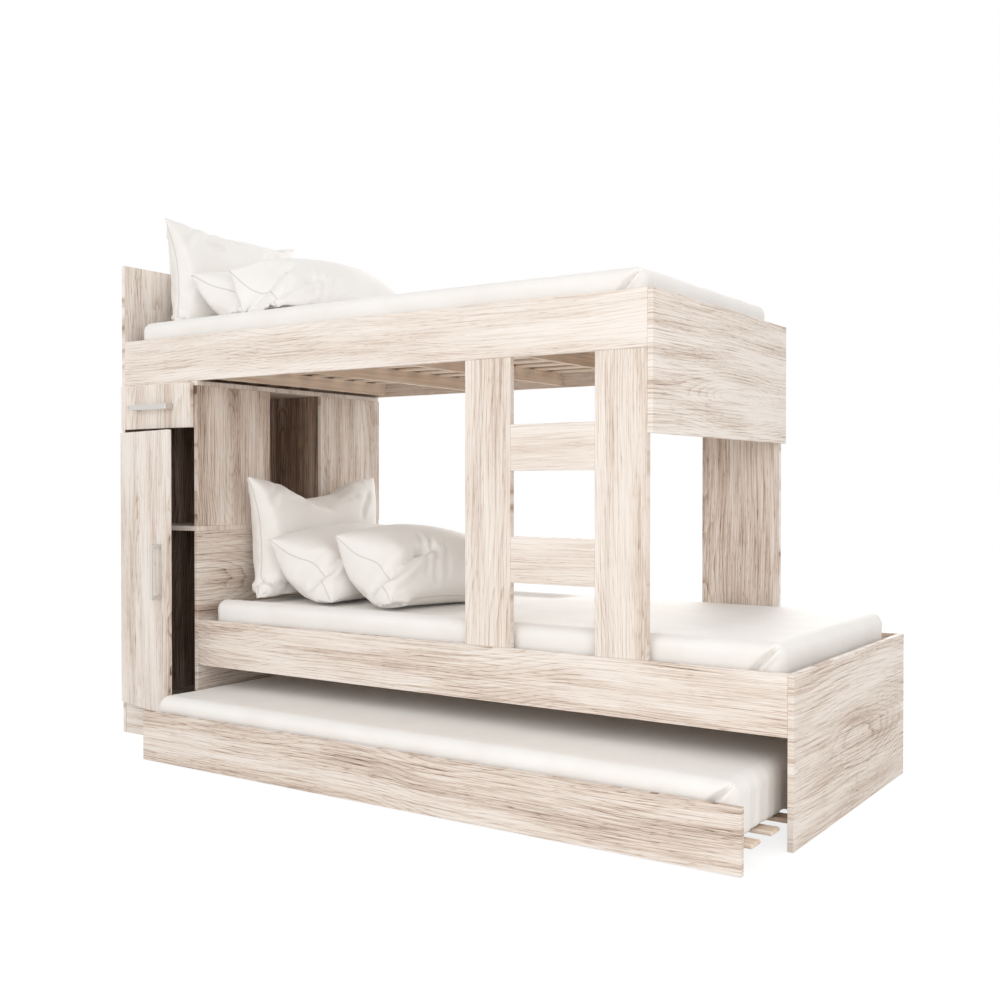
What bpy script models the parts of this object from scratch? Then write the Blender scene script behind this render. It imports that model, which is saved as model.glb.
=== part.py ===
"""Triple bunk bed.

A wardrobe end carries the head of the upper bed. The lower bed starts at the
wardrobe's side, a ladder and a rear post join the two beds, and a trundle bed
on wheels rolls out from under the lower bed. Lengths are in metres, X runs from
the wardrobe to the foot, Y from the front to the back and Z up.
"""

import math

import bmesh
import bpy
from mathutils import Vector

# Boards and gaps
board = 0.015
ladder_board = 0.018
edge_round = 0.0008
seat_gap = 0.0003
half_gap = seat_gap / 2
cut_overrun = 0.004
merge_distance = 0.00001

# Beds
bed_inner_length = 1.900
bed_depth = 0.873
rail_width = 0.142
lower_rail_level = 0.251
upper_rail_level = 1.135
upper_footboard_height = 0.344

# Wardrobe
wardrobe_width = 0.360
tall_panel_height = 1.526
plinth_height = 0.100
shelf_level = 0.667
niche_start = 0.3135
niche_width = 0.245
back_panel = 0.003
back_groove_depth = 0.006

# Fronts of the wardrobe
front_board = 0.015
front_reveal = 0.014
front_standoff = 0.0008
door_base_level = 0.1035
door_top_level = 0.980
door_rest_angle = math.radians(14)
drawer_front_level = 0.9895
drawer_front_height = 0.1395

# Bow handles
handle_length = 0.172
handle_width = 0.017
handle_projection = 0.030
handle_leg = 0.0135
handle_grip = 0.004
handle_edge = 0.0012
door_handle_reach = 0.283
door_handle_level = 0.542
drawer_handle_level = 1.057

# Concealed door hinges
hinge_inset = 0.085
cup_radius = 0.0174
cup_depth = 0.0112
cup_wall = 0.0010
cup_flange_radius = 0.0190
cup_flange = 0.0006
cup_edge_distance = 0.0225
cup_steps = 32
arm_height = 0.010
arm_plate = 0.003
arm_body = 0.009
arm_plate_length = 0.045
arm_setback = 0.030
arm_neck = 0.005
arm_neck_offset = 0.0075
arm_neck_reach = 0.004
arm_plate_height = 0.040

# Drawer box and runners
drawer_side_clearance = 0.0125
drawer_board = 0.012
drawer_box_depth = 0.280
drawer_box_height = 0.092
drawer_box_lift = 0.018
drawer_bottom = 0.003
drawer_bottom_lift = 0.008
drawer_groove_depth = 0.006
runner_length = 0.250
runner_height = 0.035
runner_sheet = 0.0012
runner_flange = 0.0095
runner_play = 0.0005
runner_start = 0.010

# Ladder and rear post
rung_height = 0.118
rung_space = 0.1675
rung_length = 0.246
rear_post_width = 0.247

# Slatted bases of the two beds
beam_width = 0.018
beam_height = 0.040
beam_lift = 0.006
beam_bays = 5
slat_width = 0.050
slat_thickness = 0.010
slat_housing = 0.001
slat_round = 0.0030
slat_end_gap = 0.006
bed_slats = 8
bed_slat_margin = 0.014

# Trundle bed
trundle_end_clearance = 0.015
trundle_rear_clearance = 0.033
trundle_front_height = 0.144
trundle_floor_gap = 0.002
trundle_rear_height = 0.060
trundle_rest_pull = 0.2228
trundle_bearer_height = 0.035
trundle_bearer_lift = 0.0105
trundle_bearers = 5
trundle_bearer_inset = 0.125
trundle_slats = 7
trundle_slat_margin = 0.045

# Fixed castors under the trundle bed
wheel_radius = 0.019
wheel_width = 0.016
wheel_tread_round = 0.002
wheel_hub_radius = 0.008
wheel_web = 0.006
wheel_steps = 24
axle_radius = 0.003
axle_play = 0.0004
axle_steps = 20
fork_sheet = 0.0015
fork_side_play = 0.0010
fork_top_play = 0.0015
fork_length = 0.032
fork_drop = 0.006
castor_inset = 0.090

# Mattresses
mattress_thickness = 0.148
mattress_head_gap = 0.045
mattress_foot_gap = 0.025
mattress_front_gap = 0.013
mattress_rear_gap = 0.040
mattress_roll = 0.045
mattress_crown = 0.006
trundle_mattress_thickness = 0.132
trundle_mattress_end_gap = 0.0275
trundle_mattress_front_gap = 0.010
trundle_mattress_rear_gap = 0.020

# Pillows: width, height and fullness, then where the middle lies from the
# headboard, from the bed's front and above the mattress, then the lean towards
# the headboard and the turn seen from above
pillow_draw_in_share = 0.07
pillow_crown_share = 0.42
pillow_sink_upper = 0.030
pillow_columns = 8
pillow_rows = 6
back_pillow_size = (0.695, 0.460, 0.180)
back_pillow_place = (0.078, 0.437, 0.192)
back_pillow_lean = math.radians(9)
back_pillow_turn = math.radians(1)
middle_pillow_size = (0.640, 0.440, 0.160)
middle_pillow_place = (0.310, 0.410, 0.090)
middle_pillow_lean = math.radians(58)
middle_pillow_turn = math.radians(-2)
front_pillow_size = (0.660, 0.420, 0.250)
front_pillow_place = (0.515, 0.490, 0.094)
front_pillow_lean = math.radians(59)
front_pillow_turn = math.radians(-11)

# Places that follow from the sizes
tall_inner = board
side_inner = wardrobe_width - board
upper_foot = board + bed_inner_length
lower_foot = wardrobe_width + bed_inner_length
overall_length = lower_foot + board
rear_inner = bed_depth - board
lower_rail_top = lower_rail_level + rail_width
upper_rail_top = upper_rail_level + rail_width
shelf_top = shelf_level + board
wardrobe_ceiling = upper_rail_level - board
niche_end = niche_start + niche_width
floor_level = -half_gap
deck_rise = beam_lift + beam_height - slat_housing + slat_thickness
lower_deck_top = lower_rail_level + deck_rise
upper_deck_top = upper_rail_level + deck_rise
trundle_deck_top = trundle_bearer_lift + trundle_bearer_height - slat_housing + slat_thickness
trundle_start = wardrobe_width + trundle_end_clearance
trundle_end = lower_foot - trundle_end_clearance
trundle_depth = bed_depth - trundle_rear_clearance
mattress_length = bed_inner_length - mattress_head_gap - mattress_foot_gap
mattress_depth = rear_inner - mattress_rear_gap - board - mattress_front_gap
trundle_mattress_length = trundle_end - trundle_start - 2 * trundle_mattress_end_gap
trundle_mattress_front = board + trundle_mattress_front_gap
trundle_mattress_rear = trundle_depth - board - trundle_mattress_rear_gap
front_left = front_reveal
front_right = wardrobe_width - front_reveal
hinge_axis = (front_left, -front_standoff)


def clear_scene():
    for item in list(bpy.data.objects):
        bpy.data.objects.remove(item, do_unlink=True)


def linear(channel):
    if channel <= 0.04045:
        return channel / 12.92
    return ((channel + 0.055) / 1.055) ** 2.4


def make_material(name, colour, roughness, metallic=0):
    """A plain finish from an sRGB hex colour."""
    material = bpy.data.materials.new(name)
    material.use_nodes = True
    shader = material.node_tree.nodes["Principled BSDF"]
    channels = [linear(int(colour[i : i + 2], 16) / 255) for i in (0, 2, 4)]
    shader.inputs["Base Color"].default_value = (*channels, 1)
    shader.inputs["Roughness"].default_value = roughness
    shader.inputs["Metallic"].default_value = metallic
    return material


def add_piece(name, data, material, place, body, turn=(0, 0, 0)):
    """Name a piece, give it its own material and set it on its body."""
    piece = bpy.data.objects.new(name, data)
    colour, roughness, metallic = material
    data.materials.append(make_material(name + "_finish", colour, roughness, metallic))
    piece.location = Vector(place) - body["datum"]
    piece.rotation_euler = turn
    piece.parent = body["empty"]
    collections["parts"].objects.link(piece)
    return piece


def add_cutter(name, data, place, body, turn=(0, 0, 0)):
    cutter = bpy.data.objects.new(name, data)
    cutter.location = Vector(place) - body["datum"]
    cutter.rotation_euler = turn
    cutter.parent = body["empty"]
    cutter.hide_render = True
    cutter.display_type = "WIRE"
    collections["cutters"].objects.link(cutter)
    return cutter


def add_body(name, datum, shift=(0, 0, 0), angle=0):
    """An empty that carries the pieces of one moving body."""
    empty = bpy.data.objects.new(name, None)
    empty.empty_display_size = board
    empty.location = Vector(datum) + Vector(shift)
    empty.rotation_euler = (0, 0, angle)
    empty.parent = bed_origin
    collections["parts"].objects.link(empty)
    return {"empty": empty, "datum": Vector(datum)}


def box_mesh(name, spans):
    """Boxes in one mesh, each given by its lowest and highest corner."""
    form = bmesh.new()
    for low, high in spans:
        made = bmesh.ops.create_cube(form, size=1)
        size = Vector(high) - Vector(low)
        bmesh.ops.scale(form, vec=size, verts=made["verts"])
        bmesh.ops.translate(form, vec=(Vector(high) + Vector(low)) / 2, verts=made["verts"])
    mesh = bpy.data.meshes.new(name)
    form.to_mesh(mesh)
    form.free()
    return mesh


def centred_span(size):
    half = Vector(size) / 2
    return (-half, half)


def round_edges(piece, width=edge_round, segments=1):
    bevel = piece.modifiers.new("rounded edges", "BEVEL")
    bevel.width = width
    bevel.segments = segments
    bevel.limit_method = "ANGLE"


def boolean(piece, other, operation="DIFFERENCE"):
    step = piece.modifiers.new(operation.lower(), "BOOLEAN")
    step.operation = operation
    step.solver = "EXACT"
    step.object = other


def add_board(name, material, low, high, body):
    """A board between two nominal corners, half a seat gap smaller all round."""
    ease = Vector((half_gap, half_gap, half_gap))
    low = Vector(low) + ease
    high = Vector(high) - ease
    mesh = box_mesh(name, [centred_span(high - low)])
    piece = add_piece(name, mesh, material, (low + high) / 2, body)
    round_edges(piece)
    return piece


def add_groove(name, piece, low, high, body):
    """Cut a box from a board."""
    low = Vector(low)
    high = Vector(high)
    cutter = add_cutter(name, box_mesh(name, [centred_span(high - low)]), (low + high) / 2, body)
    boolean(piece, cutter)


def outline_mesh(name, points, thickness):
    """A flat outline as a solid plate, made from a filled 2D curve."""
    curve = bpy.data.curves.new(name, "CURVE")
    curve.dimensions = "2D"
    curve.fill_mode = "BOTH"
    curve.extrude = thickness / 2
    spline = curve.splines.new("POLY")
    spline.points.add(len(points) - 1)
    for point, (x, y) in zip(spline.points, points):
        point.co = (x, y, 0, 1)
    spline.use_cyclic_u = True
    holder = bpy.data.objects.new(name, curve)
    collections["cutters"].objects.link(holder)
    bpy.context.view_layer.update()
    evaluated = holder.evaluated_get(bpy.context.evaluated_depsgraph_get())
    mesh = bpy.data.meshes.new_from_object(evaluated)
    bpy.data.objects.remove(holder, do_unlink=True)
    form = bmesh.new()
    form.from_mesh(mesh)
    bmesh.ops.remove_doubles(form, verts=form.verts, dist=merge_distance)
    form.to_mesh(mesh)
    form.free()
    return mesh


def strip_mesh(name, path, length):
    """An open strip that follows a path in X and Z, drawn along Y."""
    form = bmesh.new()
    rows = []
    for y in (-length / 2, length / 2):
        rows.append([form.verts.new((x, y, z)) for x, z in path])
    for i in range(len(path) - 1):
        form.faces.new((rows[0][i], rows[0][i + 1], rows[1][i + 1], rows[1][i]))
    mesh = bpy.data.meshes.new(name)
    form.to_mesh(mesh)
    form.free()
    return mesh


def fold_sheet(piece, thickness):
    shell = piece.modifiers.new("sheet thickness", "SOLIDIFY")
    shell.thickness = thickness
    shell.offset = 0
    shell.use_even_offset = True


def profile_mesh(name, points, closed):
    """The half section of a turned piece, in X and Z."""
    form = bmesh.new()
    verts = [form.verts.new((x, 0, z)) for x, z in points]
    pairs = list(zip(verts, verts[1:]))
    if closed:
        pairs.append((verts[-1], verts[0]))
    for pair in pairs:
        form.edges.new(pair)
    mesh = bpy.data.meshes.new(name)
    form.to_mesh(mesh)
    form.free()
    return mesh


def turn_profile(piece, steps):
    screw = piece.modifiers.new("turned", "SCREW")
    screw.axis = "Z"
    screw.angle = math.tau
    screw.steps = steps
    screw.render_steps = steps
    screw.use_merge_vertices = True
    screw.merge_threshold = merge_distance


def cylinder_mesh(name, radius, depth, sides):
    form = bmesh.new()
    bmesh.ops.create_cone(
        form, cap_ends=True, segments=sides, radius1=radius, radius2=radius, depth=depth
    )
    mesh = bpy.data.meshes.new(name)
    form.to_mesh(mesh)
    form.free()
    return mesh


# Finishes as colour, roughness and metallic
oak = ("DCCBBB", 0.55, 0)
pine = ("CDB193", 0.65, 0)
hardboard = ("B79E86", 0.7, 0)
cotton = ("F1EEE8", 0.85, 0)
zinc = ("A9ABAE", 0.35, 1)
aluminium = ("C9C8C6", 0.35, 1)
nylon = ("2E2E30", 0.45, 0)


def wardrobe():
    """The carcass: both sides, top, shelf, bottom, plinth, back and niche walls."""
    tall = add_board(
        "tall_end_panel", oak, (0, 0, floor_level), (board, bed_depth, tall_panel_height), frame
    )
    headboard = add_board(
        "lower_headboard",
        oak,
        (side_inner, 0, floor_level),
        (wardrobe_width, bed_depth, shelf_level),
        frame,
    )
    add_board(
        "bedside_panel_front",
        oak,
        (side_inner, 0, shelf_top),
        (wardrobe_width, niche_start, wardrobe_ceiling),
        frame,
    )
    rear_side = add_board(
        "bedside_panel_rear",
        oak,
        (side_inner, niche_end, shelf_top),
        (wardrobe_width, bed_depth, wardrobe_ceiling),
        frame,
    )
    back_face = bed_depth - back_panel
    add_board(
        "wardrobe_top",
        oak,
        (tall_inner, 0, wardrobe_ceiling),
        (wardrobe_width, back_face, upper_rail_level),
        frame,
    )
    add_board(
        "wardrobe_shelf",
        oak,
        (tall_inner, 0, shelf_level),
        (wardrobe_width, back_face, shelf_top),
        frame,
    )
    add_board(
        "wardrobe_bottom",
        oak,
        (tall_inner, 0, plinth_height),
        (side_inner, back_face, plinth_height + board),
        frame,
    )
    add_board(
        "wardrobe_plinth",
        oak,
        (tall_inner, 0, floor_level),
        (side_inner, board, plinth_height),
        frame,
    )
    add_board(
        "niche_partition_front",
        oak,
        (tall_inner, niche_start - board, shelf_top),
        (side_inner, niche_start, wardrobe_ceiling),
        frame,
    )
    add_board(
        "niche_partition_rear",
        oak,
        (tall_inner, niche_end, shelf_top),
        (side_inner, niche_end + board, wardrobe_ceiling),
        frame,
    )
    add_back_panel(tall, headboard, rear_side)


def add_back_panel(tall, headboard, rear_side):
    """A thin back that slides in grooves of the side boards."""
    left = tall_inner - back_groove_depth
    right = side_inner + back_groove_depth
    low = plinth_height
    high = upper_rail_level
    front = bed_depth - back_panel
    cover = 2 * back_panel
    groove_front = front - half_gap
    for name, side, start, end, bottom, top in (
        ("tall_panel_rebate", tall, left, board + cut_overrun, low, high),
        ("headboard_rebate", headboard, side_inner - cut_overrun, right, low, shelf_level + cut_overrun),
        ("rear_side_rebate", rear_side, side_inner - cut_overrun, right, shelf_level, high),
    ):
        add_groove(
            name,
            side,
            (start - half_gap, groove_front, bottom),
            (end + half_gap, front + cover, top),
            frame,
        )
    add_board(
        "wardrobe_back",
        hardboard,
        (left + half_gap, front, low),
        (right - half_gap, bed_depth, high),
        frame,
    )


def bed_rails(level_name, start, end, level):
    top = level + rail_width
    add_board(level_name + "_front_rail", oak, (start, 0, level), (end, board, top), frame)
    add_board(level_name + "_rear_rail", oak, (start, rear_inner, level), (end, bed_depth, top), frame)


def beds():
    bed_rails("upper", tall_inner, upper_foot, upper_rail_level)
    bed_rails("lower", wardrobe_width, lower_foot, lower_rail_level)
    upper_low = upper_rail_top - upper_footboard_height
    add_board(
        "upper_footboard",
        oak,
        (upper_foot, 0, upper_low),
        (upper_foot + board, bed_depth, upper_rail_top),
        frame,
    )
    add_board(
        "lower_footboard",
        oak,
        (lower_foot, 0, floor_level),
        (lower_foot + board, bed_depth, lower_rail_top),
        frame,
    )


def ladder():
    """Two posts and two rungs, flush with the rails' front."""
    right_start = upper_foot - rail_width
    left_end = right_start - rung_length
    left_start = left_end - rail_width
    for name, start, end in (
        ("ladder_post_left", left_start, left_end),
        ("ladder_post_right", right_start, upper_foot),
    ):
        add_board(name, oak, (start, 0, lower_rail_top), (end, ladder_board, upper_rail_level), frame)
    level = lower_rail_top
    for name in ("ladder_rung_lower", "ladder_rung_upper"):
        level += rung_space
        add_board(name, oak, (left_end, 0, level), (right_start, ladder_board, level + rung_height), frame)
        level += rung_height
    add_board(
        "rear_post",
        oak,
        (upper_foot - rear_post_width, rear_inner, lower_rail_top),
        (upper_foot, bed_depth, upper_rail_level),
        frame,
    )


def evenly(start, end, count):
    return [start + (end - start) * i / (count - 1) for i in range(count)]


def slat_deck(name, x_span, y_span, beam_low, height, beam_centres, slat_count, margin, body):
    """Lengthwise slats housed in cross beams, joined into one slatted base."""
    beam_top = beam_low + height
    beams = []
    for centre in beam_centres:
        low = (centre - beam_width / 2, y_span[0] + half_gap, beam_low)
        high = (centre + beam_width / 2, y_span[1] - half_gap, beam_top)
        beams.append((low, high))
    slats = []
    first = y_span[0] + margin + slat_width / 2
    last = y_span[1] - margin - slat_width / 2
    for centre in evenly(first, last, slat_count):
        low = (x_span[0], centre - slat_width / 2, beam_top - slat_housing)
        high = (x_span[1], centre + slat_width / 2, beam_top - slat_housing + slat_thickness)
        slats.append((low, high))
    deck = add_piece(name, box_mesh(name, beams), pine, body["datum"], body)
    loose = add_cutter(name + "_slats", box_mesh(name + "_slats", slats), body["datum"], body)
    round_edges(loose, slat_round)
    boolean(deck, loose, "UNION")
    return deck


def bed_decks():
    for name, start, end, level in (
        ("upper_slat_base", tall_inner, upper_foot, upper_rail_level),
        ("lower_slat_base", wardrobe_width, lower_foot, lower_rail_level),
    ):
        inset = beam_width / 2 + half_gap
        bay = (end - start) / beam_bays
        centres = [start + inset] + [start + bay * i for i in range(1, beam_bays)] + [end - inset]
        slat_deck(
            name,
            (start + slat_end_gap, end - slat_end_gap),
            (board, rear_inner),
            level + beam_lift,
            beam_height,
            centres,
            bed_slats,
            bed_slat_margin,
            frame,
        )


def bow_handle(name, place, turn, body):
    """A straight bow handle with a thin grip between two deep legs."""
    half = handle_length / 2
    inner = half - handle_leg
    grip = handle_projection - handle_grip
    points = [
        (-half, 0),
        (-inner, 0),
        (-inner, grip),
        (inner, grip),
        (inner, 0),
        (half, 0),
        (half, handle_projection),
        (-half, handle_projection),
    ]
    mesh = outline_mesh(name, points, handle_width)
    piece = add_piece(name, mesh, aluminium, place, body, turn)
    round_edges(piece, handle_edge, 2)


def hinge_levels():
    return {"lower": door_base_level + hinge_inset, "upper": door_top_level - hinge_inset}


def wardrobe_door():
    """The door leaf on its two cup hinges, built closed and turned by its empty."""
    rear = -front_standoff
    front = rear - front_board
    leaf = add_board(
        "door_leaf", oak, (front_left, front, door_base_level), (front_right, rear, door_top_level), door
    )
    across = math.radians(90)
    cup_x = front_left + cup_edge_distance
    for name, level in hinge_levels().items():
        bore_name = "cup_bore_" + name
        depth = cup_depth + seat_gap
        bore = cylinder_mesh(bore_name, cup_radius + seat_gap, 2 * depth, cup_steps)
        boolean(leaf, add_cutter(bore_name, bore, (cup_x, rear, level), door, (across, 0, 0)))
        hinge_cup("door_hinge_cup_" + name, (cup_x, rear, level))
        hinge_arm("door_hinge_arm_" + name, level)
    bow_handle(
        "door_handle",
        (front_left + door_handle_reach, front - half_gap, door_handle_level),
        (2 * across, across, 0),
        door,
    )


def hinge_cup(name, place):
    """The pressed cup with its flange, open towards the wardrobe."""
    inner = cup_radius - cup_wall
    floor = cup_wall - cup_depth
    points = [
        (0, floor),
        (inner, floor),
        (inner, half_gap + cup_flange),
        (cup_flange_radius, half_gap + cup_flange),
        (cup_flange_radius, half_gap),
        (cup_radius, half_gap),
        (cup_radius, -cup_depth),
        (0, -cup_depth),
    ]
    cup = add_piece(name, profile_mesh(name, points, False), zinc, place, door, (math.radians(-90), 0, 0))
    turn_profile(cup, cup_steps)


def hinge_arm(name, level):
    """The arm on the tall panel, whose neck bends into the door's cup."""
    plate_front = arm_setback
    plate_rear = arm_setback + arm_plate_length
    neck_left = hinge_axis[0] + arm_neck_offset - tall_inner
    neck_right = neck_left + arm_neck
    tip = hinge_axis[1] - arm_neck_reach
    body_face = arm_plate + arm_body
    points = [
        (arm_plate / 2, plate_rear - arm_body),
        (arm_plate / 2, plate_front + arm_plate),
        (neck_left, plate_front - arm_plate_length / 3),
        (neck_left, tip),
        (neck_right, tip),
        (neck_right, plate_front / 2),
        (body_face, plate_front),
        (body_face, plate_rear - 2 * arm_body),
    ]
    arm = add_piece(name, outline_mesh(name, points, arm_height), zinc, (tall_inner, 0, level), frame)
    plate_name = name + "_plate"
    span = (
        (half_gap, plate_front, -arm_plate_height / 2),
        (arm_plate, plate_rear, arm_plate_height / 2),
    )
    plate = add_cutter(plate_name, box_mesh(plate_name, [span]), (tall_inner, 0, level), frame)
    boolean(arm, plate, "UNION")


def drawer():
    """Front, box and handle of the drawer, with the moving runner members."""
    rear = -front_standoff
    front = rear - front_board
    top = drawer_front_level + drawer_front_height
    front_piece = add_board(
        "drawer_front",
        oak,
        (front_left, front, drawer_front_level),
        (front_right, rear, top),
        drawer_body,
    )
    low = drawer_front_level + drawer_box_lift
    high = low + drawer_box_height
    left = tall_inner + drawer_side_clearance
    right = side_inner - drawer_side_clearance
    end = drawer_box_depth
    inner_left = left + drawer_board
    inner_right = right - drawer_board
    side_left = add_board("drawer_side_left", oak, (left, rear, low), (inner_left, end, high), drawer_body)
    side_right = add_board(
        "drawer_side_right", oak, (inner_right, rear, low), (right, end, high), drawer_body
    )
    floor_low = low + drawer_bottom_lift
    floor_high = floor_low + drawer_bottom
    add_board(
        "drawer_back",
        oak,
        (inner_left, end - drawer_board, floor_high),
        (inner_right, end, high),
        drawer_body,
    )
    groove_left = inner_left - drawer_groove_depth
    groove_right = inner_right + drawer_groove_depth
    open_left = inner_left + cut_overrun
    open_right = inner_right - cut_overrun
    near_open = rear - cut_overrun
    far_open = end + cut_overrun
    near_blind = rear - drawer_groove_depth
    for name, side, start, stop, near, far in (
        ("drawer_groove_left", side_left, groove_left, open_left, near_open, far_open),
        ("drawer_groove_right", side_right, open_right, groove_right, near_open, far_open),
        ("drawer_groove_front", front_piece, groove_left, groove_right, near_blind, rear + cut_overrun),
    ):
        add_groove(
            name,
            side,
            (start - half_gap, near, floor_low - half_gap),
            (stop + half_gap, far, floor_high + half_gap),
            drawer_body,
        )
    reach = drawer_groove_depth - seat_gap
    add_board(
        "drawer_bottom",
        hardboard,
        (inner_left - reach, rear - reach, floor_low),
        (inner_right + reach, end, floor_high),
        drawer_body,
    )
    across = math.radians(90)
    middle = (front_left + front_right) / 2
    bow_handle(
        "drawer_handle", (middle, front - half_gap, drawer_handle_level), (0, 0, 2 * across), drawer_body
    )
    runner_level = (low + high) / 2
    for name, wall, facing in (("left", tall_inner, 1), ("right", side_inner, -1)):
        runner_pair(name, wall, facing, runner_level)


def runner_pair(name, wall, facing, level):
    """A channel on the wardrobe's wall and the member that slides inside it."""
    skin = runner_sheet / 2
    half = runner_height / 2 - skin
    web = half_gap + skin
    outer = [(web + runner_flange, half), (web, half), (web, -half), (web + runner_flange, -half)]
    inner_half = half - runner_sheet - runner_play
    inner_web = drawer_side_clearance - half_gap - skin
    inner = [
        (inner_web - runner_flange + runner_sheet, inner_half),
        (inner_web, inner_half),
        (inner_web, -inner_half),
        (inner_web - runner_flange + runner_sheet, -inner_half),
    ]
    middle = runner_start + runner_length / 2
    for label, path, body in (("runner_fixed_", outer, frame), ("runner_moving_", inner, drawer_body)):
        piece_name = label + name
        mesh = strip_mesh(piece_name, [(facing * x, z) for x, z in path], runner_length)
        piece = add_piece(piece_name, mesh, zinc, (wall, middle, level), body)
        fold_sheet(piece, runner_sheet)


def bearer_centres():
    return evenly(trundle_start + trundle_bearer_inset, trundle_end - trundle_bearer_inset, trundle_bearers)


def trundle():
    """The trundle bed, built pushed in and moved out by its empty."""
    top = trundle_floor_gap + trundle_front_height
    add_board(
        "trundle_front",
        oak,
        (trundle_start, 0, trundle_floor_gap),
        (trundle_end, board, top),
        trundle_body,
    )
    rear_low = trundle_bearer_lift
    add_board(
        "trundle_rear_board",
        oak,
        (trundle_start, trundle_depth - board, rear_low),
        (trundle_end, trundle_depth, rear_low + trundle_rear_height),
        trundle_body,
    )
    slat_deck(
        "trundle_slat_base",
        (trundle_start, trundle_end),
        (board, trundle_depth - board),
        trundle_bearer_lift,
        trundle_bearer_height,
        bearer_centres(),
        trundle_slats,
        trundle_slat_margin,
        trundle_body,
    )
    castors()


def castors():
    """Four fixed castors against the end bearers, each a fork, axle and wheel."""
    centres = bearer_centres()
    across = math.radians(90)
    cheek = wheel_width / 2 + fork_side_play + fork_sheet / 2
    aside = beam_width / 2 + half_gap + fork_sheet / 2 + cheek
    for name, x, y in (
        ("front_left", centres[0] + aside, board + castor_inset),
        ("front_right", centres[-1] - aside, board + castor_inset),
        ("rear_left", centres[0] + aside, trundle_depth - board - castor_inset),
        ("rear_right", centres[-1] - aside, trundle_depth - board - castor_inset),
    ):
        castor_fork("castor_fork_" + name, (x, y, wheel_radius), cheek)
        wheel_name = "castor_wheel_" + name
        mesh = profile_mesh(wheel_name, wheel_section(), True)
        wheel = add_piece(wheel_name, mesh, nylon, (x, y, wheel_radius), trundle_body, (0, across, 0))
        turn_profile(wheel, wheel_steps)


def wheel_section():
    half = wheel_width / 2
    web = wheel_web / 2
    bore = axle_radius + axle_play
    rim = wheel_radius - wheel_web
    soft = wheel_tread_round
    return [
        (wheel_radius, half - soft),
        (wheel_radius, soft - half),
        (wheel_radius - soft, -half),
        (rim, -half),
        (rim - soft, -web),
        (wheel_hub_radius + soft, -web),
        (wheel_hub_radius, -half),
        (bore, -half),
        (bore, half),
        (wheel_hub_radius, half),
        (wheel_hub_radius + soft, web),
        (rim - soft, web),
        (rim, half),
        (wheel_radius - soft, half),
    ]


def castor_fork(name, place, cheek):
    """A folded steel fork with its axle pin."""
    crown = wheel_radius + fork_top_play + fork_sheet / 2
    drop = -axle_radius - fork_drop
    path = [(-cheek, drop), (-cheek, crown), (cheek, crown), (cheek, drop)]
    fork = add_piece(name, strip_mesh(name, path, fork_length), zinc, place, trundle_body)
    fold_sheet(fork, fork_sheet)
    pin_name = name + "_axle"
    pin = cylinder_mesh(pin_name, axle_radius, 2 * cheek, axle_steps)
    boolean(fork, add_cutter(pin_name, pin, place, trundle_body, (0, math.radians(90), 0)), "UNION")


def mattress_mesh(name, length, depth, thickness):
    """A crowned cage whose rolled edges come from its closely spaced outer loops."""
    form = bmesh.new()
    bmesh.ops.create_cube(form, size=2)
    bmesh.ops.subdivide_edges(form, edges=form.edges, cuts=3, use_grid_fill=True)
    stops = []
    for size in (length, depth, thickness):
        half = size / 2
        roll = min(mattress_roll, half / 2)
        stops.append([-half, roll - half, 0, half - roll, half])
    for vert in form.verts:
        steps = [round(2 * value) + 2 for value in vert.co]
        vert.co = Vector([stops[axis][step] for axis, step in enumerate(steps)])
        inside_x = steps[0] in (1, 2, 3)
        inside_y = steps[1] in (1, 2, 3)
        if steps[2] == 4 and inside_x and inside_y:
            vert.co.z += mattress_crown
        waist = 1 if steps[2] == 2 else 0
        vert.co.x += waist * mattress_crown * ((steps[0] == 4) - (steps[0] == 0))
        vert.co.y += waist * mattress_crown * ((steps[1] == 4) - (steps[1] == 0))
    mesh = bpy.data.meshes.new(name)
    form.to_mesh(mesh)
    form.free()
    return mesh


def pillow_mesh(name, size):
    """The front half of a pillow, with drawn-in sides and a crowned face."""
    width, height, fullness = size
    form = bmesh.new()
    rows = []
    for t in evenly(-1, 1, pillow_rows + 1):
        row = []
        for s in evenly(-1, 1, pillow_columns + 1):
            rise = max(0, (1 - s * s) * (1 - t * t)) ** pillow_crown_share
            x = width / 2 * s * (1 - pillow_draw_in_share * (1 - t * t))
            y = height / 2 * t * (1 - pillow_draw_in_share * (1 - s * s))
            row.append(form.verts.new((x, y, fullness / 2 * rise)))
        rows.append(row)
    for j in range(pillow_rows):
        for i in range(pillow_columns):
            ring = [rows[j][i], rows[j][i + 1], rows[j + 1][i + 1], rows[j + 1][i]]
            left = 2 * i < pillow_columns
            low = 2 * j < pillow_rows
            start = 0 if left == low else 1
            form.faces.new(ring[start:] + ring[:start])
    mesh = bpy.data.meshes.new(name)
    form.to_mesh(mesh)
    form.free()
    return mesh


def soften(piece, mirrored):
    if mirrored:
        mirror = piece.modifiers.new("both faces", "MIRROR")
        mirror.use_axis = (False, False, True)
        mirror.merge_threshold = merge_distance
    surface = piece.modifiers.new("soft surface", "SUBSURF")
    surface.levels = 1
    surface.render_levels = 1
    flat = piece.modifiers.new("flat facets", "TRIANGULATE")
    flat.quad_method = "FIXED"


def add_soft(name, mesh, place, body, mirrored=False, turn=(0, 0, 0)):
    """A soft piece and the slightly larger twin that cuts what rests on it."""
    piece = add_piece(name, mesh, cotton, place, body, turn)
    soften(piece, mirrored)
    twin = add_cutter(name + "_twin", mesh, place, body, turn)
    soften(twin, mirrored)
    grow = twin.modifiers.new("seat gap", "DISPLACE")
    grow.strength = seat_gap
    grow.mid_level = 0
    return piece, twin


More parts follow.
